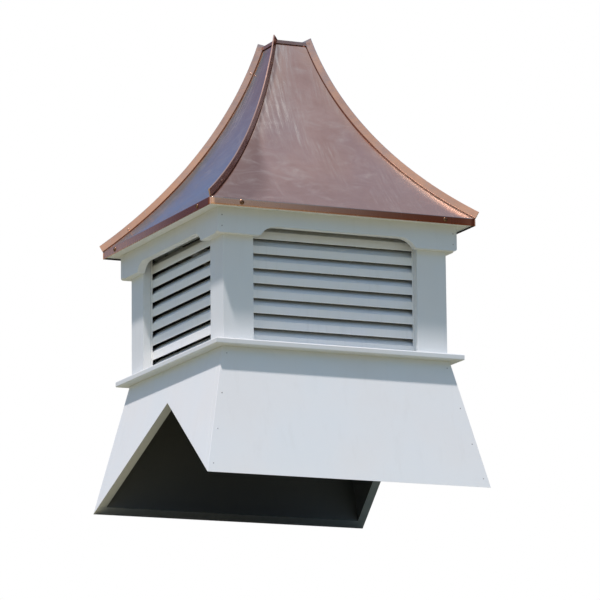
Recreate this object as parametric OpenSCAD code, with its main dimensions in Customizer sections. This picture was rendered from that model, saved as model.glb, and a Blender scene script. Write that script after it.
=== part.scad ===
// Square louvred roof cupola for a pitched roof, with a concave copper roof.
// Millimetres. Z is up, X runs along the ridge of the roof below, and the front faces -Y.
// The origin is at the middle of the base, level with the lowest edges of the skirt.

/* [Skirt] */
// Width of the base across its lower outer edges
base_w = 609.6; // [520:0.1:760]
// Width across the top of the flared skirt
skirt_top_w = 493; // [420:0.5:520]
// Height of the skirt
skirt_h = 261; // [200:0.5:340]
// Thickness of the skirt boards
skirt_t = 18; // [12:0.5:25]
// Slope of the roof that the skirt is cut for, in degrees
roof_pitch = 31.3; // [10:0.1:34]

/* [Ledge] */
// Width across the ledge
ledge_w = 538; // [525:0.5:580]
// Thickness of the ledge boards
ledge_t = 12; // [9:0.5:19]
// Radius of the ledge's eased outer edges
ledge_ease = 2.5; // [1:0.1:4]

/* [Louvred body] */
// Width across the corner posts
body_w = 486.6; // [420:0.2:520]
// Height of the body from the ledge to the soffit
body_h = 263.5; // [200:0.5:360]
// Width of each face of a corner post
post_w = 64.8; // [61:0.1:80]
// Depth that the louvres are set back behind the post faces
post_t = 17; // [12:0.5:20]
// Thickness of the stile strips behind the posts' edges
stile_t = 3; // [2:0.5:5]
// Width of stile that shows beside each post
stile_show = 2; // [0:0.5:5]
// Height of the header rail above the blades
header_h = 12; // [8:0.5:20]
// Thickness of the header rail
header_t = 16; // [12:0.5:18]
// Distance from one blade to the next
blade_pitch = 30; // [27:0.5:40]
// Depth of a blade from front to back
blade_d = 17; // [14:0.5:22]
// Height of a blade's upright front lip
blade_lip = 15.5; // [5:0.5:18]
// Slope of a blade behind its lip, in degrees
blade_slope = 45; // [35:1:48]
// Thickness of a blade
blade_t = 2.5; // [2:0.1:4]
// Height of the lowest blade's lip above the ledge
blade_start = 3; // [1:0.5:8]

/* [Frieze] */
// Height of the frieze boards at their ends
frieze_h = 51.5; // [40:0.5:70]
// Thickness of the frieze boards
frieze_t = 17; // [12:0.5:22]
// Distance that the full-height ends of a frieze board run past the posts
frieze_lap = 9.2; // [2:0.1:30]
// Height of the cut-out in the lower edge
frieze_arch_h = 19.5; // [12:0.5:30]
// Radius of the cut-out's ends
frieze_arch_r = 40; // [31:0.5:60]
// Radius of the lower corners of the front and back boards
frieze_ease = 5; // [1:0.1:12]

/* [Eave] */
// Width across the copper edge of the eave
eave_w = 578; // [560:0.5:640]
// Thickness of the soffit boards
soffit_t = 11.5; // [9:0.5:19]
// Distance that the copper edge hangs below the soffit
eave_drip = 3.5; // [1:0.5:8]

/* [Roof] */
// Height of the roof from the eave to the top of its panels
roof_h = 396.5; // [330:0.5:470]
// Radius of the concave roof curve
roof_r = 776.5; // [620:0.5:1200]
// Width across the top of the panels
roof_top_w = 67; // [50:0.5:100]
// Thickness of the copper sheet
sheet_t = 0.8; // [0.6:0.1:1.5]
// Height of the standing seams on the hips
seam_h = 15; // [8:0.5:22]
// Thickness of a folded seam
seam_t = 3; // [2:0.1:4]

/* [Cap] */
// Width across the cap
cap_w = 72; // [70:0.5:110]
// Height from the top of the roof panels to the top of the cap
cap_rise = 5; // [3:0.5:10]
// Depth of the cap's turned-down edge
cap_lip = 7; // [5.5:0.5:9]
// Distance that the seams stand above the cap
seam_rise = 8.5; // [4:0.5:12]
// Length of seam that lies on the cap at each corner
seam_tail = 9.5; // [5:0.5:14]

/* [Hidden] */
$fn = 96;
CUT = 20;             // how far a cutting shape runs past what it cuts
CLEAR = 0.3;          // clearance of the cap round the seams
SEAM_STEPS = 28;      // straight lengths along the edge of a seam
ROOT2 = sqrt(2);

white = [0.88, 0.90, 0.93];
copper = [0.62, 0.44, 0.39];

base_half = base_w / 2;
skirt_top_half = skirt_top_w / 2;
ledge_half = ledge_w / 2;
body_half = body_w / 2;
eave_half = eave_w / 2;
roof_top_half = roof_top_w / 2;
cap_half = cap_w / 2;

flare = atan((base_half - skirt_top_half) / skirt_h);   // lean of the skirt boards
skirt_inset = skirt_t / cos(flare);                     // their thickness on the level
ridge_z = base_half * tan(roof_pitch);                  // peak of the V cut

ledge_z = skirt_h;
body_z = ledge_z + ledge_t;
soffit_z = body_z + body_h;
eave_z = soffit_z + soffit_t + 0.5;                     // fold at the top of the copper edge

opening_half = body_half - post_w;                      // clear width between the posts
louvre_half = body_half - post_t;                       // front plane of the louvres
frieze_half = body_half + frieze_t;
frieze_z = soffit_z - frieze_h;
frieze_arch_half = opening_half - frieze_lap;
blade_half = louvre_half - stile_t;                     // front plane of the blades' lips
core_half = blade_half - blade_d;                       // inner plane of blades and post cores
blade_rise = blade_d * tan(blade_slope);
blade_edge = blade_t / cos(blade_slope);                // thickness of the slope, measured upright
// As many blades as clear the header and the soffit
blade_count = 1 + floor((body_h - blade_start - blade_lip
    - max(header_h + (header_t - stile_t) * tan(blade_slope), blade_rise)) / blade_pitch);

// The roof curve is an arc through the eave and the top of the panels, bulging inward.
chord_r = eave_half - roof_top_half;
chord = sqrt(chord_r * chord_r + roof_h * roof_h);
sagitta_arm = sqrt(roof_r * roof_r - chord * chord / 4);
curve_r = (eave_half + roof_top_half) / 2 + sagitta_arm * roof_h / chord;
curve_z = eave_z + roof_h / 2 + sagitta_arm * chord_r / chord;
eave_angle = acos((curve_r - eave_half) / roof_r);
roof_top_z = eave_z + roof_h;
cap_z = roof_top_z + cap_rise;

// Height of the panels' outer surface at half-width r
function roof_z(r) = curve_z - sqrt(roof_r * roof_r - (curve_r - r) * (curve_r - r));

// A point of the hip in its own upright plane, at angle a of the arc, d outside the curve.
// The first number is the distance from the middle of the roof along the diagonal.
function hip_point(a, d) =
    let (nx = cos(a), nz = ROOT2 * sin(a), n = sqrt(nx * nx + nz * nz))
    [ROOT2 * (curve_r - roof_r * cos(a)) + d * nx / n, curve_z - roof_r * sin(a) + d * nz / n];

// Angle of the arc where the seam's outer edge reaches height z, found by halving
function seam_angle(z, low, high, steps = 24) =
    let (mid = (low + high) / 2)
    steps == 0 ? mid
    : hip_point(mid, seam_h)[1] > z ? seam_angle(z, mid, high, steps - 1)
    : seam_angle(z, low, mid, steps - 1);

SIDES = ["front", "right", "back", "left"];
CORNERS = ["front_left", "front_right", "back_right", "back_left"];

// Turns a piece made for the front to side 0 front, 1 right, 2 back or 3 left
module to_side(side) {
    rotate([0, 0, 90 * side]) children();
}

// A profile drawn as [distance outward from the middle, height], run along the front side
module front_run(length) {
    translate([length / 2, 0, 0]) rotate([90, 0, -90]) linear_extrude(length) children();
}

// The wedge of plan that belongs to the front side, between the two diagonals
module front_wedge(reach, low, high, gap = 0) {
    translate([0, 0, low]) linear_extrude(high - low)
        polygon([[0, -gap], [reach, -reach - gap], [-reach, -reach - gap]]);
}

// A level board along the front, mitred at both ends, from half-width inner to outer
module mitred_board(inner, outer, low, thick) {
    translate([0, 0, low]) linear_extrude(thick)
        polygon([[-outer, -outer], [outer, -outer], [inner, -inner], [-inner, -inner]]);
}

// Upright trapezoid bar: its half-width falls from base_half - inset along the skirt's slope
module flared_bar(inset) {
    grow = CUT * tan(flare);
    rotate([90, 0, 0]) translate([0, 0, -base_half - CUT]) linear_extrude(2 * (base_half + CUT))
        polygon([
            [-base_half + inset - grow, -CUT], [base_half - inset + grow, -CUT],
            [skirt_top_half - inset - grow, skirt_h + CUT],
            [-skirt_top_half + inset + grow, skirt_h + CUT]
        ]);
}

// The roof below, as a ridged block to cut away
module roof_below() {
    reach = base_half + CUT;
    drop = CUT * tan(roof_pitch);
    front_run(2 * reach)
        polygon([[-reach, -drop], [0, ridge_z], [reach, -drop], [reach, -2 * CUT], [-reach, -2 * CUT]]);
}

// The whole skirt's outer shape, cut level at the top
module skirt_outer() {
    intersection() {
        flared_bar(0);
        rotate([0, 0, 90]) flared_bar(0);
        translate([-base_half, -base_half, 0]) cube([base_w, base_w, skirt_h]);
    }
}

// Front and back boards run out to the corners
module skirt_wide(side) {
    color(white) to_side(side) difference() {
        skirt_outer();
        rotate([0, 0, 90]) flared_bar(skirt_inset);
        translate([-base_half - CUT, 0, -CUT])
            cube([base_w + 2 * CUT, base_half + CUT, skirt_h + 2 * CUT]);
        roof_below();
    }
}

// Left and right boards fit between them and carry the V cut
module skirt_narrow(side) {
    color(white) difference() {
        intersection() {
            skirt_outer();
            rotate([0, 0, 90]) flared_bar(skirt_inset);
        }
        flared_bar(skirt_inset);
        rotate([0, 0, side == 1 ? 180 : 0]) translate([0, -base_half - CUT, -CUT])
            cube([base_half + CUT, base_w + 2 * CUT, skirt_h + 2 * CUT]);
        roof_below();
    }
}

module skirt(side) {
    if (side % 2 == 0) skirt_wide(side);
    else skirt_narrow(side);
}

// Ledge board with its two outer edges eased
module ledge(side) {
    color(white) to_side(side) intersection() {
        mitred_board(opening_half, ledge_half, ledge_z, ledge_t);
        front_run(ledge_w) {
            translate([opening_half - CUT, ledge_z])
                square([ledge_half - ledge_ease - opening_half + CUT, ledge_t]);
            translate([ledge_half - ledge_ease - CUT, ledge_z + ledge_ease])
                square([ledge_ease + CUT, ledge_t - 2 * ledge_ease]);
            for (z = [ledge_z + ledge_ease, ledge_z + ledge_t - ledge_ease])
                translate([ledge_half - ledge_ease, z]) circle(ledge_ease);
        }
    }
}

// Corner post: two outer faces on a square core that the stiles and blades end against
module post(corner) {
    inner = opening_half;
    core = core_half;
    color(white) rotate([0, 0, 90 * corner]) translate([0, 0, body_z]) linear_extrude(body_h)
        polygon([
            [-body_half, -body_half], [-inner, -body_half], [-inner, -louvre_half],
            [-core, -louvre_half], [-core, -core], [-louvre_half, -core],
            [-louvre_half, -inner], [-body_half, -inner]
        ]);
}

// The two upright strips in front of the ends of one side's blades
module stiles(side) {
    show_half = opening_half - stile_show;
    color(white) to_side(side) for (x = [-core_half, show_half])
        translate([x, -louvre_half, body_z]) cube([core_half - show_half, stile_t, body_h]);
}

module header(side) {
    half = opening_half - stile_show;
    color(white) to_side(side) translate([-half, -louvre_half, soffit_z - header_h])
        cube([2 * half, header_t, header_h]);
}

// Slats with an upright lip in front and a slope rising behind it, that run from post to post
// behind the stiles
module blades(side) {
    color(white) to_side(side) for (i = [0 : blade_count - 1])
        translate([0, 0, body_z + blade_start + i * blade_pitch]) front_run(2 * core_half)
            polygon([
                [blade_half, 0], [blade_half, blade_lip], [core_half, blade_lip + blade_rise],
                [core_half, blade_lip + blade_rise - blade_edge],
                [blade_half - blade_t, blade_lip + blade_t * tan(blade_slope) - blade_edge],
                [blade_half - blade_t, 0]
            ]);
}

// Outline of a frieze board with its arched cut-out; half is half its length, and ease is the
// radius of its lower corners
module frieze_outline(half, ease) {
    arch_top = frieze_z + frieze_arch_h;
    flat_half = frieze_arch_half
        - sqrt(frieze_arch_r * frieze_arch_r - pow(frieze_arch_r - frieze_arch_h, 2));
    difference() {
        union() {
            translate([-half, frieze_z + ease]) square([2 * half, frieze_h - ease]);
            if (ease > 0) {
                translate([-half + ease, frieze_z]) square([2 * (half - ease), 2 * ease]);
                for (x = [-half + ease, half - ease]) translate([x, frieze_z + ease]) circle(ease);
            }
        }
        intersection() {
            translate([-half - CUT, frieze_z - CUT]) square([2 * half + 2 * CUT, CUT + frieze_arch_h]);
            union() {
                translate([-flat_half, frieze_z - CUT]) square([2 * flat_half, CUT + frieze_arch_h]);
                for (x = [-flat_half, flat_half])
                    translate([x, arch_top - frieze_arch_r]) circle(frieze_arch_r);
            }
        }
    }
}

// Front and back frieze boards run out to the corners, and the others fit between them
module frieze(side) {
    wide = side % 2 == 0;
    color(white) to_side(side) translate([0, -body_half, 0]) rotate([90, 0, 0])
        linear_extrude(frieze_t)
            frieze_outline(wide ? frieze_half : body_half, wide ? frieze_ease : 0);
}

module soffit(side) {
    color(white) to_side(side)
        mitred_board(opening_half, eave_half - sheet_t, soffit_z, soffit_t);
}

// Copper sheet in profile: the concave slope and the turned-down edge
module roof_sheet() {
    intersection() {
        difference() {
            translate([curve_r, curve_z]) circle(roof_r + sheet_t, $fn = 360);
            translate([curve_r, curve_z]) circle(roof_r, $fn = 360);
        }
        translate([roof_top_half, eave_z - CUT]) square([eave_half - roof_top_half, roof_h + CUT]);
    }
    translate([eave_half - sheet_t, soffit_z - eave_drip])
        square([sheet_t, eave_z - soffit_z + eave_drip]);
}

module roof_panel(side) {
    color(copper) to_side(side) intersection() {
        front_run(eave_w) roof_sheet();
        front_wedge(eave_half + CUT, soffit_z - eave_drip - CUT, roof_top_z + CUT, seam_t / ROOT2);
    }
}

// Standing seam on a hip: a folded strip that ends square at the eave and runs on to the cap
module seam(corner) {
    top_angle = seam_angle(cap_z + seam_rise, 1, eave_angle);
    panel_top = acos((curve_r - roof_top_half) / roof_r);
    outer = [for (i = [0 : SEAM_STEPS])
        hip_point(eave_angle + (top_angle - eave_angle) * i / SEAM_STEPS, seam_h)];
    inner = [for (i = [SEAM_STEPS : -1 : 0])
        hip_point(eave_angle + (panel_top - eave_angle) * i / SEAM_STEPS, -sheet_t)];
    tail = [ROOT2 * (roof_top_half - seam_tail), cap_z];
    edge = [
        [ROOT2 * (eave_half - sheet_t), soffit_z - eave_drip],
        [ROOT2 * eave_half, soffit_z - eave_drip], [ROOT2 * eave_half, eave_z]
    ];
    color(copper) rotate([0, 0, 90 * corner - 135]) translate([0, seam_t / 2, 0])
        rotate([90, 0, 0]) linear_extrude(seam_t) polygon(concat(outer, [tail], inner, edge));
}

// Square cap with its edge turned down over the panels, slit at the corners for the seams
module top_cap() {
    skirt_low = max(cap_z - cap_lip, roof_z(cap_half - sheet_t) + CLEAR);
    slit = seam_t + 2 * CLEAR;
    color(copper) difference() {
        translate([-cap_half, -cap_half, skirt_low]) cube([cap_w, cap_w, cap_z - skirt_low]);
        translate([-cap_half + sheet_t, -cap_half + sheet_t, skirt_low - CUT])
            cube([cap_w - 2 * sheet_t, cap_w - 2 * sheet_t, cap_z - sheet_t - skirt_low + CUT]);
        for (corner = [0 : 3]) rotate([0, 0, 90 * corner + 45])
            translate([ROOT2 * (roof_top_half - seam_tail) - CLEAR, -slit / 2, skirt_low - CUT])
                cube([cap_w, slit, 3 * CUT]);
    }
}

for (i = [0 : 3]) {
    skirt(i);
    ledge(i);
    post(i);
    stiles(i);
    header(i);
    blades(i);
    frieze(i);
    soffit(i);
    roof_panel(i);
    seam(i);
}
top_cap();
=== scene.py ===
"""Looks for the louvred roof cupola: white PVC boards, copper roof, fixings, light and camera.

Metres throughout, in the frame of the CAD model: Z up, X along the ridge, the front faces -Y.
"""
import math

import bmesh
import bpy
from mathutils import Matrix, Vector, noise


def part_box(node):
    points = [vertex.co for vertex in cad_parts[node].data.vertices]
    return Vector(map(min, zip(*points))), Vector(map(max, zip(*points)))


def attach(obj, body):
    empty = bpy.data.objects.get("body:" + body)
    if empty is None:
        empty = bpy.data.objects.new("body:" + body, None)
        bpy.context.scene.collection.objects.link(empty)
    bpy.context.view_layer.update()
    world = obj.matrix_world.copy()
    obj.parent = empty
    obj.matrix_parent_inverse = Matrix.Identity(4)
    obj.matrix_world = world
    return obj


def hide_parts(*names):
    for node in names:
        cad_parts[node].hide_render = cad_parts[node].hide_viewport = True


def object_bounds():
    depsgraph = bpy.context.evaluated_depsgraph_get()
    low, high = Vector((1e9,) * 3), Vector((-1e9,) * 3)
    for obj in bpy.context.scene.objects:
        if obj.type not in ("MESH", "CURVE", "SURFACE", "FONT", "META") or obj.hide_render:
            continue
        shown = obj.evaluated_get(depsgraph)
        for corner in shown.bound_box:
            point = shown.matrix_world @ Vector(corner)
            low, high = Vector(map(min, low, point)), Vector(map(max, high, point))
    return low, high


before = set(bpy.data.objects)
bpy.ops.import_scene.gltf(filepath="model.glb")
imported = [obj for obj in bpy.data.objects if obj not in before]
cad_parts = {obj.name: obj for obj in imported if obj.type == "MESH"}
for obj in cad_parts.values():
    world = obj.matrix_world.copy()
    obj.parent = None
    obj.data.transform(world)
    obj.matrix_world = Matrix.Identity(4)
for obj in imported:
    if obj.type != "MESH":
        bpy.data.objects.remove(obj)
cad_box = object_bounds()

SIDES = ("front", "right", "back", "left")
CORNERS = ("front_left", "front_right", "back_right", "back_left")
ROOT2 = math.sqrt(2)

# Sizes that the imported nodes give
BASE_HALF = cad_box[1].x
SEAM_TIP_Z = cad_box[1].z
SKIRT_TOP_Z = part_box("skirt_front")[1].z
FRIEZE_FACE = -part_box("frieze_front")[0].y
SOFFIT_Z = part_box("soffit_front")[0].z
EAVE_HALF = -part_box("roof_front")[0].y
DRIP_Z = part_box("roof_front")[0].z
PANEL_TOP_HALF = -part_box("roof_front")[1].y
PANEL_TOP_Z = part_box("roof_front")[1].z
CAP_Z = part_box("top_cap")[1].z
LOUVRE_FACE = -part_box("blades_front")[0].y
BOARD_BACK = -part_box("stiles_front")[0].y
EAVE_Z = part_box("soffit_front")[1].z + 0.0005

# Sizes of the copper work and the skirt that the nodes' boxes don't give
SHEET = 0.0008
CURVE_RADIUS = 0.7765
SEAM_HEIGHT = 0.015
SEAM_THICK = 0.003
SEAM_TAIL = 0.0095
SKIRT_TOP_HALF = 0.2465
HIP_GAP = 0.0008           # from a panel's side edge to the middle of the seam, square to it
FOLD_RADIUS = 0.002        # of the fold at the eave
SHEET_DISH = 0.0007        # how far the sheet waves in and out
SEAM_WAVE = 0.00035        # how far a seam waves sideways
SEAM_GROOVE = 0.0008       # open height under a seam's cover strip
RIVET_HEIGHTS = (0.5915, 0.8965)
SCREW_OUT_FROM_MIDDLE = 0.2215
SCREW_BELOW_EAVE = 0.0072
FRIEZE_NAIL_HEIGHTS = (0.520, 0.498)
FRIEZE_NAIL_IN = 0.0083
SKIRT_NAIL_HEIGHTS = (0.018, 0.089, 0.163, 0.246)
SKIRT_NAIL_IN = 0.0106
SUNK = 0.0001              # how far a nail's head lies in the board

# Each side's copper lies this far from the next in the noise, so that no two sides are alike
SIDE_STEP = 3.7

# Colours, as linear red, green and blue
BOARD_COOL, BOARD_WARM = (0.80, 0.83, 0.82), (0.83, 0.835, 0.81)
BOARD_DUST = (0.50, 0.47, 0.41)
# Painted shade on the boards' inward faces
BOARD_INSIDE_SHADE = (0.030, 0.029, 0.028)
SLAT_COOL, SLAT_WARM = (0.93, 0.94, 0.93), (0.94, 0.94, 0.90)
# Streaky grime, and painted shade a little way into the louvres
SLAT_GRIME_AND_SHADE = (0.38, 0.37, 0.34)
# Painted shade deep in the louvres and on their inward faces
SLAT_INSIDE_SHADE = (0.022, 0.022, 0.023)
COPPER_BRIGHT, COPPER_OXIDE = (0.86, 0.57, 0.46), (0.50, 0.27, 0.20)
COPPER_FILM = (0.66, 0.46, 0.42)
COPPER_LOW = (0.60, 0.38, 0.32)
# Painted reflections of the seams, and a painted highlight beside them, on the copper sheet
COPPER_SEAM_WARM_REFLECTION = (1.0, 0.64, 0.44)
COPPER_SEAM_BROWN_REFLECTION, COPPER_SEAM_BROWN_REFLECTION_LEFT = (0.40, 0.245, 0.205), (1.0, 0.50, 0.20)
COPPER_SEAM_HIGHLIGHT = (1.0, 0.88, 0.74)
# Painted reflection on the turned-down edge, bright on the left and dark on the right
COPPER_DRIP_REFLECTION_LEFT, COPPER_DRIP_REFLECTION_RIGHT = (1.0, 0.62, 0.40), (0.30, 0.07, 0.02)
# Painted shade under the copper sheet
COPPER_UNDERSIDE_SHADE = (0.035, 0.026, 0.022)
TRIM_SCUFFED = (0.93, 0.70, 0.56)
# Painted shade in the groove under a seam's cover strip
TRIM_GROOVE_SHADE = (0.22, 0.11, 0.08)


# ---------------------------------------------------------------- shader maths

class Value:
    """A socket of a shader tree, so that shader maths reads as plain Python."""

    def __init__(self, tree, socket):
        self.tree = tree
        self.socket = socket

    def maths(self, operation, *others, clamp=False):
        node = self.tree.nodes.new("ShaderNodeMath")
        node.operation = operation
        node.use_clamp = clamp
        for place, item in enumerate((self,) + others):
            if isinstance(item, Value):
                self.tree.links.new(item.socket, node.inputs[place])
            else:
                node.inputs[place].default_value = item
        return Value(self.tree, node.outputs[0])

    def __add__(self, other):
        return self.maths("ADD", other)

    __radd__ = __add__

    def __sub__(self, other):
        return self.maths("SUBTRACT", other)

    def __rsub__(self, other):
        return self * -1.0 + other

    def __mul__(self, other):
        return self.maths("MULTIPLY", other)

    __rmul__ = __mul__

    def __truediv__(self, other):
        return self.maths("DIVIDE", other)

    def __pow__(self, other):
        return self.maths("POWER", other)

    def clamped(self):
        return self.maths("ADD", 0.0, clamp=True)


class Shader:
    """A node tree being filled for a material or the world."""

    def __init__(self, owner):
        owner.use_nodes = True
        self.tree = owner.node_tree
        self.tree.nodes.clear()

    def node(self, kind, settings=None, sockets=None):
        """Adds a node: its settings first, then the values or links of its sockets."""
        node = self.tree.nodes.new("ShaderNode" + kind)
        for name, setting in (settings or {}).items():
            setattr(node, name, setting)
        for name, item in (sockets or {}).items():
            socket = node.inputs[name]
            if isinstance(item, Value):
                self.tree.links.new(item.socket, socket)
            elif isinstance(item, tuple) and socket.type == "RGBA":
                socket.default_value = (*item, 1)
            else:
                socket.default_value = item
        return node

    def add(self, kind, settings=None, sockets=None, out=0):
        """Adds a node and gives one of its outputs."""
        return Value(self.tree, self.node(kind, settings, sockets).outputs[out])

    def place(self):
        """Position on the object in metres."""
        return self.add("TexCoord", out="Object")

    def stretched(self, vector, scale, shift=(0, 0, 0)):
        return self.add("Mapping", sockets={"Vector": vector, "Scale": scale, "Location": shift})

    def noise(self, vector, scale, detail=4.0, rough=0.5, distort=0.0):
        """Noise from 0 to 1."""
        return self.add("TexNoise", sockets={"Vector": vector, "Scale": scale, "Detail": detail,
                                             "Roughness": rough, "Distortion": distort})

    def band(self, value, low, high):
        """0 below low and 1 above high, smooth between. low may be the higher one."""
        if low < high:
            limits = {"From Min": low, "From Max": high, "To Min": 0.0, "To Max": 1.0}
        else:
            limits = {"From Min": high, "From Max": low, "To Min": 1.0, "To Max": 0.0}
        return self.add("MapRange", {"interpolation_type": "SMOOTHSTEP"},
                        {"Value": value, **limits})

    def mix(self, factor, first, second, how="MIX"):
        """Mix of two colours. A Mix node keeps its colour sockets at 6 and 7, and the result at 2."""
        return self.add("Mix", {"data_type": "RGBA", "blend_type": how},
                        {0: factor, 6: first, 7: second}, out=2)

    def mix_shaders(self, factor, first, second):
        return self.add("MixShader", sockets={0: factor, 1: first, 2: second})

    def bump(self, height, distance, strength=1.0):
        return self.add("Bump", sockets={"Height": height, "Distance": distance,
                                         "Strength": strength})

    def parts(self, vector):
        """The X, Y and Z of a vector."""
        node = self.node("SeparateXYZ", sockets={"Vector": vector})
        return [Value(self.tree, socket) for socket in node.outputs]

    def finish(self, shader, kind="OutputMaterial"):
        self.node(kind, sockets={"Surface": shader})


def new_finish(name):
    material = bpy.data.materials.new(name)
    return material, Shader(material)


# ---------------------------------------------------------------- finishes

def outward(s, place):
    """How far a face looks away from the cupola's axis: half-width times the outward share."""
    x, y, _ = s.parts(place)
    out_x, out_y, _ = s.parts(s.add("NewGeometry", out="Normal"))
    return x * out_x + y * out_y


def half_width(s, place):
    """How far out a point is, as the half-width of the square that it lies on."""
    x, y, _ = s.parts(place)
    return x.maths("ABSOLUTE").maths("MAXIMUM", y.maths("ABSOLUTE"))


def white_board(name, shade_behind=None, inner=BOARD_INSIDE_SHADE):
    """Cellular PVC trim board: satin white, faintly uneven, with a little dust where it can lie.
    Faces that look inward take the inner colour as painted shade, and so does all that lies
    behind a half-width if one is given."""
    material, s = new_finish(name)
    place = s.place()
    cloud = s.noise(place, 5.5, 3.0)
    streak = s.noise(s.stretched(place, (60, 60, 5)), 1.0, 4.0, 0.6)
    specks = s.noise(place, 420.0, 2.0)
    upward = s.parts(s.add("NewGeometry", out="Normal"))[2]
    dust = s.band(upward, 0.35, 0.95)
    darkening = (s.band(streak, 0.52, 0.8) * 0.08 + s.band(cloud, 0.45, 0.75) * 0.06 + dust * 0.25
             + s.band(specks, 0.70, 0.8) * 0.10).clamped()
    board = s.mix(s.band(cloud, 0.3, 0.7), BOARD_COOL, BOARD_WARM)
    colour = s.mix(darkening, board, BOARD_DUST)
    # Painted shade: inward faces, and all behind the given half-width, take the inner colour
    inside_shade = s.band(outward(s, place), -0.195, -0.215)
    if shade_behind is not None:
        behind = s.band(half_width(s, place), shade_behind, shade_behind - 0.0008)
        inside_shade = inside_shade.maths("MAXIMUM", behind)
    skin = s.noise(place, 900.0, 2.0) * 0.4 + s.noise(place, 70.0, 3.0) * 0.6
    shader = s.add("BsdfPrincipled", sockets={
        "Base Color": s.mix(inside_shade, colour, inner),
        "Roughness": 0.38 + cloud * 0.12 + darkening * 0.4,
        "Normal": s.bump(skin, 0.00012, 0.35),
    })
    s.finish(shader)
    return material


def louvre_board(name):
    """The same white board in the louvres, with streaky grime. A little way in it is greyed with
    painted shade, and further in it is painted near black as shade, as are the faces that
    look inward."""
    material, s = new_finish(name)
    place = s.place()
    depth = LOUVRE_FACE - half_width(s, place)
    cloud = s.noise(place, 9.0, 3.0)
    streak = s.noise(s.stretched(place, (90, 90, 8)), 1.0, 4.0, 0.6)
    # Painted shade: greyer from 8 to 16 mm in from the louvre face
    shade_a_little_in = s.band(depth, 0.008, 0.016)
    darkening = (s.band(streak, 0.5, 0.8) * 0.10 + shade_a_little_in * 0.15).clamped()
    board = s.mix(s.band(cloud, 0.3, 0.7), SLAT_COOL, SLAT_WARM)
    colour = s.mix(darkening, board, SLAT_GRIME_AND_SHADE)
    # Painted shade: inward faces, and all deeper than about 17 mm, turn near black
    looks_inward = s.band(outward(s, place), -0.02, -0.08) * s.band(depth, 0.001, 0.002)
    shade_further_in = s.band(depth + cloud * 0.001, 0.0165, 0.0174)
    dark = shade_further_in.maths("MAXIMUM", looks_inward)
    skin = s.noise(place, 900.0, 2.0) * 0.5 + s.noise(place, 90.0, 3.0) * 0.5
    shader = s.add("BsdfPrincipled", sockets={
        "Base Color": s.mix(dark, colour, SLAT_INSIDE_SHADE),
        "Roughness": 0.42 + cloud * 0.12 + dark * 0.3,
        "Normal": s.bump(skin, 0.00012, 0.35),
    })
    s.finish(shader)
    return material


def copper_tone(s, place, oxide_share):
    """Base colour of weathered copper, from salmon to brown, and the mask of the browner parts."""
    patches = s.noise(place, 7.0, 5.0, 0.55, 0.6)
    mottle = s.noise(place, 55.0, 4.0, 0.6)
    oxide = (s.band(patches, 0.35, 0.75) * 0.75 + s.band(mottle, 0.4, 0.8) * 0.35) * oxide_share
    return s.mix(oxide.clamped(), COPPER_BRIGHT, COPPER_OXIDE), oxide


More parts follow.
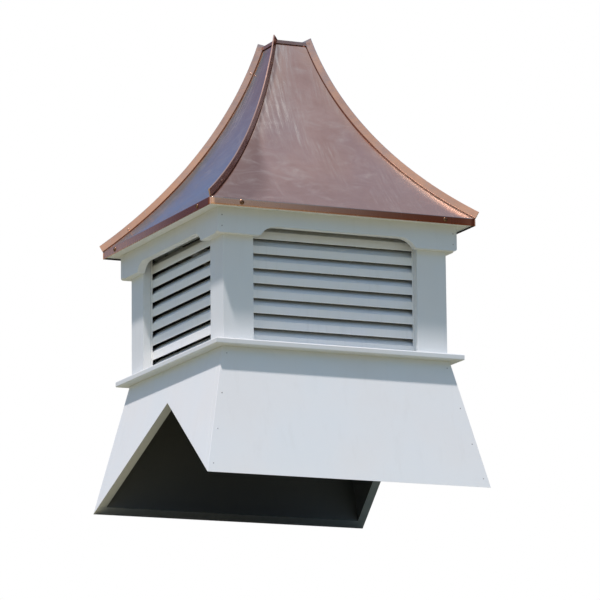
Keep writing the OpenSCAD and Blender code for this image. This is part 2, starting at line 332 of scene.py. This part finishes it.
def copper_sheet():
    """The roof panels: rolled copper under a thin film, with wiped and brushed light marks that
    run down the slope. It is browner low down. Beside the seams it carries painted reflections of
    them, warm by both and brown beside the left hand seam, and a painted highlight beside the right
    hand one. It is painted dark underneath as shade. The turned-down edge carries a painted
    reflection that goes from bright to red brown."""
    material, s = new_finish("copper_sheet")
    place = s.place()
    across, along, side = s.parts(s.add("Attribute", {"attribute_name": "sheet"}, out="Vector"))
    sheet = s.add("CombineXYZ", sockets={"X": across, "Y": along, "Z": side})
    base, oxide = copper_tone(s, place, 0.52)

    brushed = s.noise(s.stretched(sheet, (150, 13, 1)), 1.0, 6.0, 0.7, 0.3)
    upper_left = s.band(across, 0.03, -0.05) * s.band(along, 0.20, 0.34)
    patch = s.noise(s.stretched(sheet, (9, 5, 1), (2.3, 0.4, 0)), 1.0, 3.0, 0.5, 0.8)
    streaks = s.band(brushed, 0.40, 0.74) * (s.band(patch, 0.46, 0.66) * 0.6 + upper_left * 0.9)
    swirl = s.noise(s.stretched(sheet, (11, 22, 1)), 1.0, 5.0, 0.65, 1.6)
    wiped = s.band(swirl, 0.42, 0.80) * s.band(patch, 0.62, 0.38) + upper_left * 0.25
    film = s.noise(s.stretched(sheet, (4.5, 3.2, 1), (0.7, 1.9, 0)), 1.0, 4.0, 0.55)

    light_marks = (streaks * 0.8 + wiped * 0.45).clamped()
    tone = s.mix(s.band(film, 0.40, 0.62) * 0.6, base, COPPER_FILM)
    low_down = s.band(along + film * 0.06, 0.19, 0.06)
    browner = s.mix(low_down * 0.55, tone, COPPER_LOW)

    # The strips beside the two seams, which widen towards the eave, most of all on the left panel.
    # They are painted reflections of the seams: a warm one by both seams and a painted highlight by
    # the right hand one low down, both except on the left panel, and a brown one by the left hand
    # seam.
    from_hip = half_width(s, place) - across.maths("ABSOLUTE")
    left_panel = side.maths("GREATER_THAN", SIDE_STEP * (SIDES.index("left") - 0.5))
    width = 0.012 + s.band(along, 0.30, 0.04) * (0.09 + left_panel * 0.08)
    # Painted reflection: a warm strip by both seams, except on the left panel
    warm_reflection = s.band(from_hip + film * 0.03, 0.065, 0.0) * (1.0 - left_panel)
    browner = s.mix(warm_reflection * 0.6, browner, COPPER_SEAM_WARM_REFLECTION)
    # Painted reflection: a brown strip by the left hand seam, orange on the left panel
    by_hip = s.band(from_hip / width + film * 0.5, 1.45, 0.95)
    brown_reflection = by_hip * s.band(across, 0.0, -0.03)
    brown_reflection_tone = s.mix(left_panel, COPPER_SEAM_BROWN_REFLECTION, COPPER_SEAM_BROWN_REFLECTION_LEFT)
    browner = s.mix(brown_reflection * (0.7 + left_panel * 0.3), browner, brown_reflection_tone)
    # Painted highlight: a bright strip by the right hand seam, low down, except on the left panel
    brightened = s.band(from_hip / width, 0.42, 0.05) * s.band(across, 0.0, 0.03) * (1.0 - left_panel)
    brightened = brightened * s.band(along, 0.34, 0.16)
    light_marks = light_marks.maths("MAXIMUM", brightened * 0.8)
    marked = s.mix(light_marks, browner, COPPER_SEAM_HIGHLIGHT)

    height = s.parts(place)[2]
    # Painted reflection on the turned-down edge, bright on the left and red brown on the right
    edge_band = s.band(height, EAVE_Z - 0.0004, EAVE_Z - 0.0016)
    edge_reflection = s.mix(s.band(across, -0.25, 0.2), COPPER_DRIP_REFLECTION_LEFT, COPPER_DRIP_REFLECTION_RIGHT)
    edged = s.mix(edge_band * 0.92, marked, edge_reflection)
    # Painted shade: the sheet's underside is dark and not metallic
    inside_shade = s.band(outward(s, place), -0.005, -0.02)

    canning = s.noise(s.stretched(sheet, (5, 3, 1)), 1.0, 1.0)
    lines = s.noise(s.stretched(sheet, (900, 40, 1)), 1.0, 2.0)
    soft = s.bump(canning, 0.0011, 0.5)
    fine = s.add("Bump", sockets={"Height": lines, "Distance": 0.00003, "Strength": 0.4,
                                  "Normal": soft})
    shader = s.add("BsdfPrincipled", sockets={
        "Base Color": s.mix(inside_shade, edged, COPPER_UNDERSIDE_SHADE),
        "Metallic": 1.0 - inside_shade,
        "Roughness": (0.10 + light_marks * 0.24 + film * 0.07 + oxide * 0.10 + edge_band * 0.10
                      + inside_shade * 0.5),
        "Normal": fine,
    })
    s.finish(shader)
    return material


def copper_trim(name, oxide_share, rough):
    """Folded seams and the cap: the same sheet, handled more and a little browner, with painted
    shade in the groove along the foot of a seam."""
    material, s = new_finish(name)
    place = s.place()
    base, oxide = copper_tone(s, place, oxide_share)
    scuffs = s.noise(s.stretched(place, (160, 160, 26)), 1.0, 4.0, 0.6, 0.5)
    brightened = s.band(scuffs, 0.58, 0.78)
    colour = s.mix(brightened * 0.4, base, TRIM_SCUFFED)
    # Painted shade along the groove under the cover strip
    groove = s.add("Attribute", {"attribute_name": "groove"}, out="Fac")
    dents = s.noise(place, 48.0, 2.0) * 0.7 + s.noise(place, 600.0, 2.0) * 0.1
    shader = s.add("BsdfPrincipled", sockets={
        "Base Color": s.mix(groove, colour, TRIM_GROOVE_SHADE),
        "Metallic": 1.0,
        "Roughness": rough + brightened * 0.12 + oxide * 0.10 + groove * 0.3,
        "Normal": s.bump(dents, 0.0005, 0.5),
    })
    s.finish(shader)
    return material


def fastener_metal(name, clean, tarnished, rough):
    """Small heads of screws, rivets and nails, tarnished in spots."""
    material, s = new_finish(name)
    place = s.place()
    spots = s.band(s.noise(place, 420.0, 4.0, 0.6), 0.42, 0.72)
    shader = s.add("BsdfPrincipled", sockets={
        "Base Color": s.mix(spots, clean, tarnished),
        "Metallic": 1.0,
        "Roughness": rough + spots * 0.2,
        "Normal": s.bump(s.noise(place, 1500.0, 2.0), 0.00004, 0.5),
    })
    s.finish(shader)
    return material


def floor_finish(radius):
    """Pale floor that fades out towards its rim and is open from below."""
    material, s = new_finish("studio_floor")
    x, y, _ = s.parts(s.place())
    away = (x * x + y * y) ** 0.5
    mottle = s.noise(s.place(), 3.0, 4.0)
    pale = s.mix(mottle, (0.50, 0.50, 0.49), (0.54, 0.54, 0.53))
    paint = s.mix(s.add("LightPath", out="Is Camera Ray"), (0.23, 0.22, 0.14), pale)
    matt = s.add("BsdfPrincipled", sockets={"Base Color": paint, "Roughness": 0.8})
    open_part = s.add("NewGeometry", out="Backfacing").maths(
        "MAXIMUM", s.band(away, radius * 0.45, radius * 0.98))
    s.finish(s.mix_shaders(open_part, matt, s.add("BsdfTransparent")))
    return material


# ---------------------------------------------------------------- mesh helpers

def new_piece(name, mesh, finish, smooth_angle=None):
    """Puts a mesh in the scene as a piece of the cupola."""
    mesh.materials.append(finish)
    piece = bpy.data.objects.new(name, mesh)
    bpy.context.scene.collection.objects.link(piece)
    if smooth_angle is not None:
        mesh.shade_smooth()
        mesh.set_sharp_from_angle(angle=math.radians(smooth_angle))
    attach(piece, "root")
    return piece


def mesh_from(points, faces, name):
    mesh = bpy.data.meshes.new(name)
    mesh.from_pydata([tuple(p) for p in points], [], faces)
    mesh.validate()
    mesh.update()
    return mesh


def turn_faces_outward(mesh):
    shape = bmesh.new()
    shape.from_mesh(mesh)
    bmesh.ops.recalc_face_normals(shape, faces=shape.faces)
    shape.to_mesh(mesh)
    shape.free()


def grid_faces(rows, columns):
    """Quads between rows of points, each row columns long."""
    return [(r * columns + c, r * columns + c + 1,
             (r + 1) * columns + c + 1, (r + 1) * columns + c)
            for r in range(rows - 1) for c in range(columns - 1)]


def quarter_turn(count):
    """Turns what was made for the front to another side."""
    return Matrix.Rotation(math.radians(90 * count), 4, "Z")


def corner_turn(index):
    """Turns what was made along X to a corner."""
    return quarter_turn(index) @ Matrix.Rotation(math.radians(-135), 4, "Z")


def smooth_step(value, low, high):
    t = min(1.0, max(0.0, (value - low) / (high - low)))
    return t * t * (3 - 2 * t)


def turned(outline, segments=20):
    """Points and faces of an outline of (radius, height) pairs turned about Z, and closed with a
    flat face at both ends."""
    points, faces = [], []
    for radius, height in outline:
        for i in range(segments):
            angle = 2 * math.pi * i / segments
            points.append(Vector((radius * math.cos(angle), radius * math.sin(angle), height)))
    for ring in range(len(outline) - 1):
        for i in range(segments):
            a, b = ring * segments + i, ring * segments + (i + 1) % segments
            faces.append((a, b, b + segments, a + segments))
    faces.append(tuple(range((len(outline) - 1) * segments, len(outline) * segments)))
    faces.append(tuple(reversed(range(segments))))
    return points, faces


def copies(points, faces, places):
    """The same shape at each of several matrices, as one list of points and one of faces."""
    all_points, all_faces = [], []
    for matrix in places:
        first = len(all_points)
        all_points += [matrix @ p for p in points]
        all_faces += [tuple(first + i for i in face) for face in faces]
    return all_points, all_faces


def facing(position, direction):
    """A matrix that puts a shape made on the Z axis at a position, pointing in a direction."""
    turn = Vector(direction).to_track_quat("Z", "Y").to_matrix().to_4x4()
    return Matrix.Translation(Vector(position)) @ turn


# ---------------------------------------------------------------- the roof curve

CHORD_ACROSS = EAVE_HALF - PANEL_TOP_HALF
CHORD_UP = PANEL_TOP_Z - EAVE_Z
CHORD = math.hypot(CHORD_ACROSS, CHORD_UP)
ARM = math.sqrt(CURVE_RADIUS ** 2 - CHORD ** 2 / 4)
CURVE_HALF = (EAVE_HALF + PANEL_TOP_HALF) / 2 + ARM * CHORD_UP / CHORD
CURVE_Z = (EAVE_Z + PANEL_TOP_Z) / 2 + ARM * CHORD_ACROSS / CHORD
EAVE_ANGLE = math.acos((CURVE_HALF - EAVE_HALF) / CURVE_RADIUS)
TOP_ANGLE = math.acos((CURVE_HALF - PANEL_TOP_HALF) / CURVE_RADIUS)


def curve_point(angle):
    """Half-width and height of the panels' outer surface."""
    return (CURVE_HALF - CURVE_RADIUS * math.cos(angle), CURVE_Z - CURVE_RADIUS * math.sin(angle))


def hip_point(angle, off):
    """Distance from the axis along the diagonal, and height, off the hip curve by a distance."""
    half, height = curve_point(angle)
    out, up = math.cos(angle), ROOT2 * math.sin(angle)
    size = math.hypot(out, up)
    return ROOT2 * half + off * out / size, height + off * up / size


def angle_at(height, off):
    """The curve's angle where the line off the hip by a distance has a height, by halving."""
    low, high = math.radians(5), EAVE_ANGLE
    for _ in range(40):
        middle = (low + high) / 2
        if hip_point(middle, off)[1] > height:
            low = middle
        else:
            high = middle
    return low


# ---------------------------------------------------------------- copper pieces

def panel_profile():
    """The panel's outer surface from the hem under the edge to the top: (half-width, height,
    normal outward, normal up, how freely the sheet can dish there)."""
    hem = SHEET
    fold_reach = FOLD_RADIUS * math.tan(EAVE_ANGLE / 2)
    rows = [(EAVE_HALF - 2 * hem, SOFFIT_Z - 0.0007, -1, 0, 0),
            (EAVE_HALF - 2 * hem, DRIP_Z + hem, -1, 0, 0)]
    for i in range(1, 6):
        angle = math.pi + math.pi * i / 6
        rows.append((EAVE_HALF - hem + hem * math.cos(angle), DRIP_Z + hem + hem * math.sin(angle),
                     math.cos(angle), math.sin(angle), 0))
    for i in range(5):
        height = DRIP_Z + hem + (EAVE_Z - fold_reach - DRIP_Z - hem) * i / 5
        rows.append((EAVE_HALF, height, 1, 0, 0))
    for i in range(6):
        angle = EAVE_ANGLE * i / 5
        rows.append((EAVE_HALF - FOLD_RADIUS + FOLD_RADIUS * math.cos(angle),
                     EAVE_Z - fold_reach + FOLD_RADIUS * math.sin(angle),
                     math.cos(angle), math.sin(angle), 0))
    start = EAVE_ANGLE - fold_reach / CURVE_RADIUS
    steps = 72
    for i in range(1, steps + 1):
        angle = start + (TOP_ANGLE - start) * i / steps
        half, height = curve_point(angle)
        free = smooth_step(i / steps, 0, 0.12) * smooth_step(1 - i / steps, 0, 0.1)
        rows.append((half, height, math.cos(angle), math.sin(angle), free))
    return rows


def roof_panel(index, finish):
    """One side of the roof: a single sheet from the hem to under the cap, very slightly dished."""
    rows = panel_profile()
    columns = 57
    points, marks = [], []
    along = 0.0
    last = rows[0]
    for row in rows:
        half, height, out, up, free = row
        along += math.hypot(half - last[0], height - last[1])
        last = row
        reach = half - HIP_GAP * ROOT2
        for c in range(columns):
            x = reach * (2 * c / (columns - 1) - 1)
            still = smooth_step(reach - abs(x), 0, 0.035)
            wave = noise.noise(Vector((x * 6, along * 4, index * 5.3)))
            dish = SHEET_DISH * wave * free * still
            points.append(Vector((x, -(half + out * dish), height + up * dish)))
            marks.append((x, along, index * SIDE_STEP))
    mesh = mesh_from(points, grid_faces(len(rows), columns), f"copper_{SIDES[index]}")
    sheet = mesh.attributes.new("sheet", "FLOAT_VECTOR", "POINT")
    for item, mark in zip(sheet.data, marks):
        item.vector = mark
    mesh.transform(quarter_turn(index))
    piece = new_piece(f"copper_panel_{SIDES[index]}", mesh, finish, 60)
    thick = piece.modifiers.new("sheet", "SOLIDIFY")
    thick.thickness = SHEET * 0.95
    thick.offset = -1
    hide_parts(f"roof_{SIDES[index]}")
    return piece


def seam_section():
    """Across and height of a seam: a thin upstand, and the cover strip folded down over it, which
    stops short of the panels and leaves a groove."""
    leg, cover, groove, top = 0.0007, SEAM_THICK / 2, SEAM_GROOVE, SEAM_HEIGHT
    one_side = [(leg, -SHEET), (leg, groove), (cover - 0.0003, groove), (cover, groove + 0.0004),
                (cover, top - 0.0007), (cover - 0.0006, top)]
    return [(-across, height) for across, height in one_side] + one_side[::-1]


def hip_seam(index, finish):
    """A standing seam in the plane of one hip, with its tail under the cap and the corner strip
    between the turned-down edges. Its groove is marked for the finish's painted shade."""
    section = seam_section()
    steps = 60
    tip_angle = angle_at(SEAM_TIP_Z, SEAM_HEIGHT)
    points, faces, groove_shade = [], [], []
    for i in range(steps + 1):
        for across, height in section:
            # Marks the upstand under the cover strip, which the finish paints dark as shade
            groove_shade.append(1.0 if abs(across) < SEAM_THICK / 4 else 0.0)
            share = max(0.0, height / SEAM_HEIGHT)
            end = TOP_ANGLE + (tip_angle - TOP_ANGLE) * share
            angle = EAVE_ANGLE + (end - EAVE_ANGLE) * i / steps
            wobble = SEAM_WAVE * noise.noise(Vector((i * 0.21, index * 9.1, 0))) * share
            away, up = hip_point(angle, height)
            points.append(Vector((away, across + wobble, up)))
    size = len(section)
    for i in range(steps):
        for j in range(size):
            k = (j + 1) % size
            faces.append((i * size + j, i * size + k, (i + 1) * size + k, (i + 1) * size + j))
    faces.append(tuple(range(size)))
    tail = ROOT2 * (PANEL_TOP_HALF - SEAM_TAIL)
    points += [Vector((tail, section[0][0], CAP_Z)), Vector((tail, section[-1][0], CAP_Z))]
    near, far = len(points) - 2, len(points) - 1
    last = steps * size
    half = size // 2
    for j in range(half - 1):
        faces.append((last + j, last + j + 1, near))
        faces.append((last + half + j, last + half + j + 1, far))
    faces.append((last + half - 1, last + half, far, near))
    faces.append((last + size - 1, last, near, far))

    # The corner strip between the two turned-down edges
    first = len(points)
    outer, inner = ROOT2 * (EAVE_HALF - 0.0006), ROOT2 * (EAVE_HALF - SHEET * 2)
    for height in (DRIP_Z, EAVE_Z - 0.0020):
        for away, across in ((inner, -1), (outer, -1), (outer, 1), (inner, 1)):
            points.append(Vector((away, across * SEAM_THICK / 2, height)))
    a, b = first, first + 4
    faces += [(a, a + 3, a + 2, a + 1), (b, b + 1, b + 2, b + 3)]
    faces += [(a + j, a + (j + 1) % 4, b + (j + 1) % 4, b + j) for j in range(4)]

    mesh = mesh_from(points, faces, f"seam_mesh_{CORNERS[index]}")
    groove = mesh.attributes.new("groove", "FLOAT", "POINT")
    for item, depth in zip(groove.data, groove_shade + [0.0] * (len(points) - len(groove_shade))):
        item.value = depth
    turn_faces_outward(mesh)
    mesh.transform(corner_turn(index))
    piece = new_piece(f"folded_seam_{CORNERS[index]}", mesh, finish, 35)
    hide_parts(f"seam_{CORNERS[index]}")
    return piece


def cap_clips(finish):
    """A strip of the cap's edge folded over the foot of each seam tip."""
    points, faces = [], []
    start, end = ROOT2 * (PANEL_TOP_HALF + 0.0012), ROOT2 * (PANEL_TOP_HALF + 0.0066)
    low, high = CAP_Z - 0.0040, CAP_Z + 0.0012
    droop = 0.0018
    near, far = SEAM_THICK / 2 - 0.0002, SEAM_THICK / 2 + 0.0008
    box = [(0, 1, 3, 2), (4, 6, 7, 5), (0, 4, 5, 1),
           (2, 3, 7, 6), (0, 2, 6, 4), (1, 5, 7, 3)]
    for index in range(4):
        turn = corner_turn(index)
        for side in (-1, 1):
            first = len(points)
            for away, drop in ((start, 0.0), (end, droop)):
                for across in (near, far):
                    for height in (low - drop, high - drop):
                        points.append(turn @ Vector((away, side * across, height)))
            faces += [tuple(first + i for i in face) for face in box]
    mesh = mesh_from(points, faces, "cap_clips")
    turn_faces_outward(mesh)
    return new_piece("cap_clips", mesh, finish)


# ---------------------------------------------------------------- fixings

def dome(radius, height, recess=0.0, recess_depth=0.0):
    """A domed head on a thin rim, with a socket in the middle if recess is given."""
    outline = [(radius, 0), (radius, height * 0.18)]
    for i in range(1, 6):
        angle = math.pi / 2 * i / 6
        outline.append((radius * math.cos(angle), height * (0.18 + 0.82 * math.sin(angle))))
    if recess:
        outline = [p for p in outline if p[0] > recess * 1.25]
        outline += [(recess * 1.1, height), (recess, height * 0.96),
                    (recess * 0.9, height - recess_depth)]
    else:
        outline.append((radius * 0.05, height))
    return turned(outline)


def eave_screws(finish):
    """Two screws through the turned-down edge on each side."""
    places = []
    for index in range(4):
        for end in (-1, 1):
            spot = (end * SCREW_OUT_FROM_MIDDLE, 2 * SUNK - EAVE_HALF, EAVE_Z - SCREW_BELOW_EAVE)
            places.append(quarter_turn(index) @ facing(spot, (0, -1, 0)))
    head = dome(radius=0.0048, height=0.0028, recess=0.0016, recess_depth=0.0012)
    points, faces = copies(*head, places)
    return new_piece("eave_screws", mesh_from(points, faces, "eave_screws"), finish,
                     40)


def seam_rivets(finish):
    """Two rivets through each seam, with the head on the same face all round."""
    places = []
    middle = SEAM_HEIGHT * 0.38
    for index in range(4):
        for height in RIVET_HEIGHTS:
            away, up = hip_point(angle_at(height, middle), middle)
            places.append(corner_turn(index) @ facing((away, 0.0009, up), (0, 1, 0)))
    points, faces = copies(*dome(radius=0.0024, height=0.0015), places)
    return new_piece("seam_rivets", mesh_from(points, faces, "seam_rivets"), finish,
                     40)


def board_nails(finish):
    """Finish nails near the ends of the front and back skirt and frieze boards."""
    lean = (BASE_HALF - SKIRT_TOP_HALF) / SKIRT_TOP_Z
    slope = Vector((0, -1, lean)).normalized()
    places = []
    for index in (0, 2):
        turn = quarter_turn(index)
        for end in (-1, 1):
            for height in FRIEZE_NAIL_HEIGHTS:
                spot = (end * (FRIEZE_FACE - FRIEZE_NAIL_IN), SUNK - FRIEZE_FACE, height)
                places.append(turn @ facing(spot, (0, -1, 0)))
            for height in SKIRT_NAIL_HEIGHTS:
                face = BASE_HALF - lean * height
                spot = (end * (face - SKIRT_NAIL_IN), SUNK - face, height)
                places.append(turn @ facing(spot, slope))
    points, faces = copies(*dome(radius=0.0014, height=0.0004), places)
    return new_piece("board_nails", mesh_from(points, faces, "board_nails"), finish,
                     40)


# ---------------------------------------------------------------- boards from the CAD

def ease_edges(node, width):
    """Welds a CAD node's split corners and eases its sharp edges."""
    weld = node.modifiers.new("weld", "WELD")
    weld.merge_threshold = 0.00001
    bevel = node.modifiers.new("eased", "BEVEL")
    bevel.width = width
    bevel.segments = 2
    bevel.limit_method = "ANGLE"
    bevel.angle_limit = math.radians(35)
    flat = node.modifiers.new("flat_faces", "WEIGHTED_NORMAL")
    flat.weight = 100


def at_each(places, *kinds):
    """Names of the CAD nodes of some kinds at each side or corner."""
    return [f"{kind}_{place}" for kind in kinds for place in places]


def dress(names, finish, ease):
    """Gives CAD nodes a finish and eased edges."""
    for name in names:
        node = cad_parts[name]
        node.data.materials.clear()
        node.data.materials.append(finish)
        ease_edges(node, ease)


# ---------------------------------------------------------------- camera, light and floor

def set_camera():
    """A long lens from below, to the left of the front."""
    azimuth, elevation, roll = (math.radians(a) for a in (-23.975, -11.163, -0.577))
    distance, across, height, lens = 8.726, 0.02704, 0.41423, 256.9
    forward = Vector((-math.sin(azimuth) * math.cos(elevation),
                      math.cos(azimuth) * math.cos(elevation), -math.sin(elevation)))
    level = Vector((math.cos(azimuth), math.sin(azimuth), 0))
    upright = level.cross(forward)
    right = level * math.cos(roll) + upright * math.sin(roll)
    up = upright * math.cos(roll) - level * math.sin(roll)
    camera = bpy.data.objects.new("camera", bpy.data.cameras.new("camera"))
    camera.data.lens = lens
    camera.data.sensor_width = 36
    turn = Matrix((right, up, -forward)).transposed().to_4x4()
    target = level * across + Vector((0, 0, height))
    camera.matrix_world = Matrix.Translation(target - forward * distance) @ turn
    camera.data.clip_end = 100
    bpy.context.scene.collection.objects.link(camera)
    bpy.context.scene.camera = camera


def set_sun():
    lamp = bpy.data.lights.new("key_light", "SUN")
    lamp.energy = 3.8
    lamp.angle = math.radians(2.5)
    lamp.color = (1.0, 0.925, 0.935)
    key = bpy.data.objects.new("key_light", lamp)
    key.rotation_euler = Vector((-0.319, -0.213, 1)).to_track_quat("Z", "Y").to_euler()
    bpy.context.scene.collection.objects.link(key)


def set_surroundings():
    """A plain white backdrop, with a soft fill for light and reflections: blue at the back, paler
    overhead, and a dim band low down that is warm and lighter on the left."""
    world = bpy.data.worlds.new("studio")
    bpy.context.scene.world = world
    s = Shader(world)
    x, y, z = s.parts(s.add("TexCoord", out="Generated"))
    back = s.band(y, 0.45, 0.9)
    sunward = x * -0.298 + y * -0.199 + z * 0.934
    top = s.mix(s.band(sunward, 0.85, 1.0), (0.40, 0.43, 0.53), (0.62, 0.60, 0.62))
    blue = s.mix(s.band(x, -0.3, 0.35), (0.20, 0.20, 0.32), (0.165, 0.275, 0.52))
    middle = s.mix(back, (0.165, 0.37, 0.66), blue)
    warm = s.mix(s.band(x, -0.6, 0.85), (0.74, 0.62, 0.49), (0.07, 0.035, 0.03))
    low = s.mix(back, warm, (0.21, 0.23, 0.38))
    skyline = z - s.band(x, 0.6, 0.85) * 0.22
    around = s.mix(s.band(skyline, 0.21, 0.30), low, s.mix(s.band(z, 0.42, 0.6), middle, top))
    # Matt surfaces get a bluer light from the sky than the copper mirrors
    soft_low = s.mix(s.band(skyline, 0.21, 0.30), (0.28, 0.36, 0.44), around)
    soft = s.mix(1.0, soft_low, (0.90, 1.01, 1.10), "MULTIPLY")
    sky = s.mix(s.add("LightPath", out="Is Diffuse Ray"), around, soft)
    fill = s.mix(s.band(z, 0.0, -0.1), sky, (0.32, 0.30, 0.20))
    lit = s.add("Background", sockets={"Color": fill, "Strength": 1.0})
    plain = s.add("Background", sockets={"Color": (1.0, 1.0, 1.0), "Strength": 1.0})
    seen = s.add("LightPath", out="Is Camera Ray")
    s.finish(s.mix_shaders(seen, lit, plain), "OutputWorld")


def lay_floor():
    radius = 2.4
    mesh = bpy.data.meshes.new("floor")
    shape = bmesh.new()
    bmesh.ops.create_circle(shape, cap_ends=True, radius=radius, segments=96)
    shape.to_mesh(mesh)
    shape.free()
    mesh.materials.append(floor_finish(radius))
    floor = bpy.data.objects.new("floor", mesh)
    floor.location.z = -0.0005
    bpy.context.scene.collection.objects.link(floor)


# ---------------------------------------------------------------- the cupola

bpy.context.scene.view_settings.view_transform = "Standard"
set_camera()

board = white_board("white_board")
# Painted shade on the posts' parts that lie behind the boards' back
post_board = white_board("post_board", shade_behind=BOARD_BACK)
slat = louvre_board("louvre_board")
# Painted shade: the skirt's inward faces are dark grey
skirt_board = white_board("skirt_board", inner=(0.20, 0.20, 0.19))
dress(at_each(SIDES, "skirt"), skirt_board, 0.0005)
dress(at_each(SIDES, "soffit", "frieze"), board, 0.0005)
dress(at_each(SIDES, "ledge"), board, 0.0006)
dress(at_each(CORNERS, "post"), post_board, 0.0010)
dress(at_each(SIDES, "stiles", "blades"), slat, 0.0005)
# Painted shade: the whole header is dark, as it lies within the base's half-width
header_board = white_board("header_board", shade_behind=BASE_HALF, inner=(0.13, 0.12, 0.10))
dress(at_each(SIDES, "header"), header_board, 0.0005)

sheet_copper = copper_sheet()
seam_copper = copper_trim("seam_copper", 0.38, 0.16)
for number in range(4):
    roof_panel(number, sheet_copper)
    hip_seam(number, seam_copper)
cap_copper = copper_trim("cap_copper", 1.6, 0.22)
dress(["top_cap"], cap_copper, 0.0002)
cap_clips(cap_copper)

eave_screws(fastener_metal("screw_brass", (0.30, 0.17, 0.10), (0.05, 0.025, 0.015), 0.22))
seam_rivets(fastener_metal("rivet_copper", (0.80, 0.55, 0.42), (0.30, 0.15, 0.10), 0.25))
board_nails(fastener_metal("nail_steel", (0.55, 0.55, 0.54), (0.30, 0.28, 0.25), 0.45))

set_sun()
set_surroundings()
lay_floor()

bpy.context.view_layer.update()
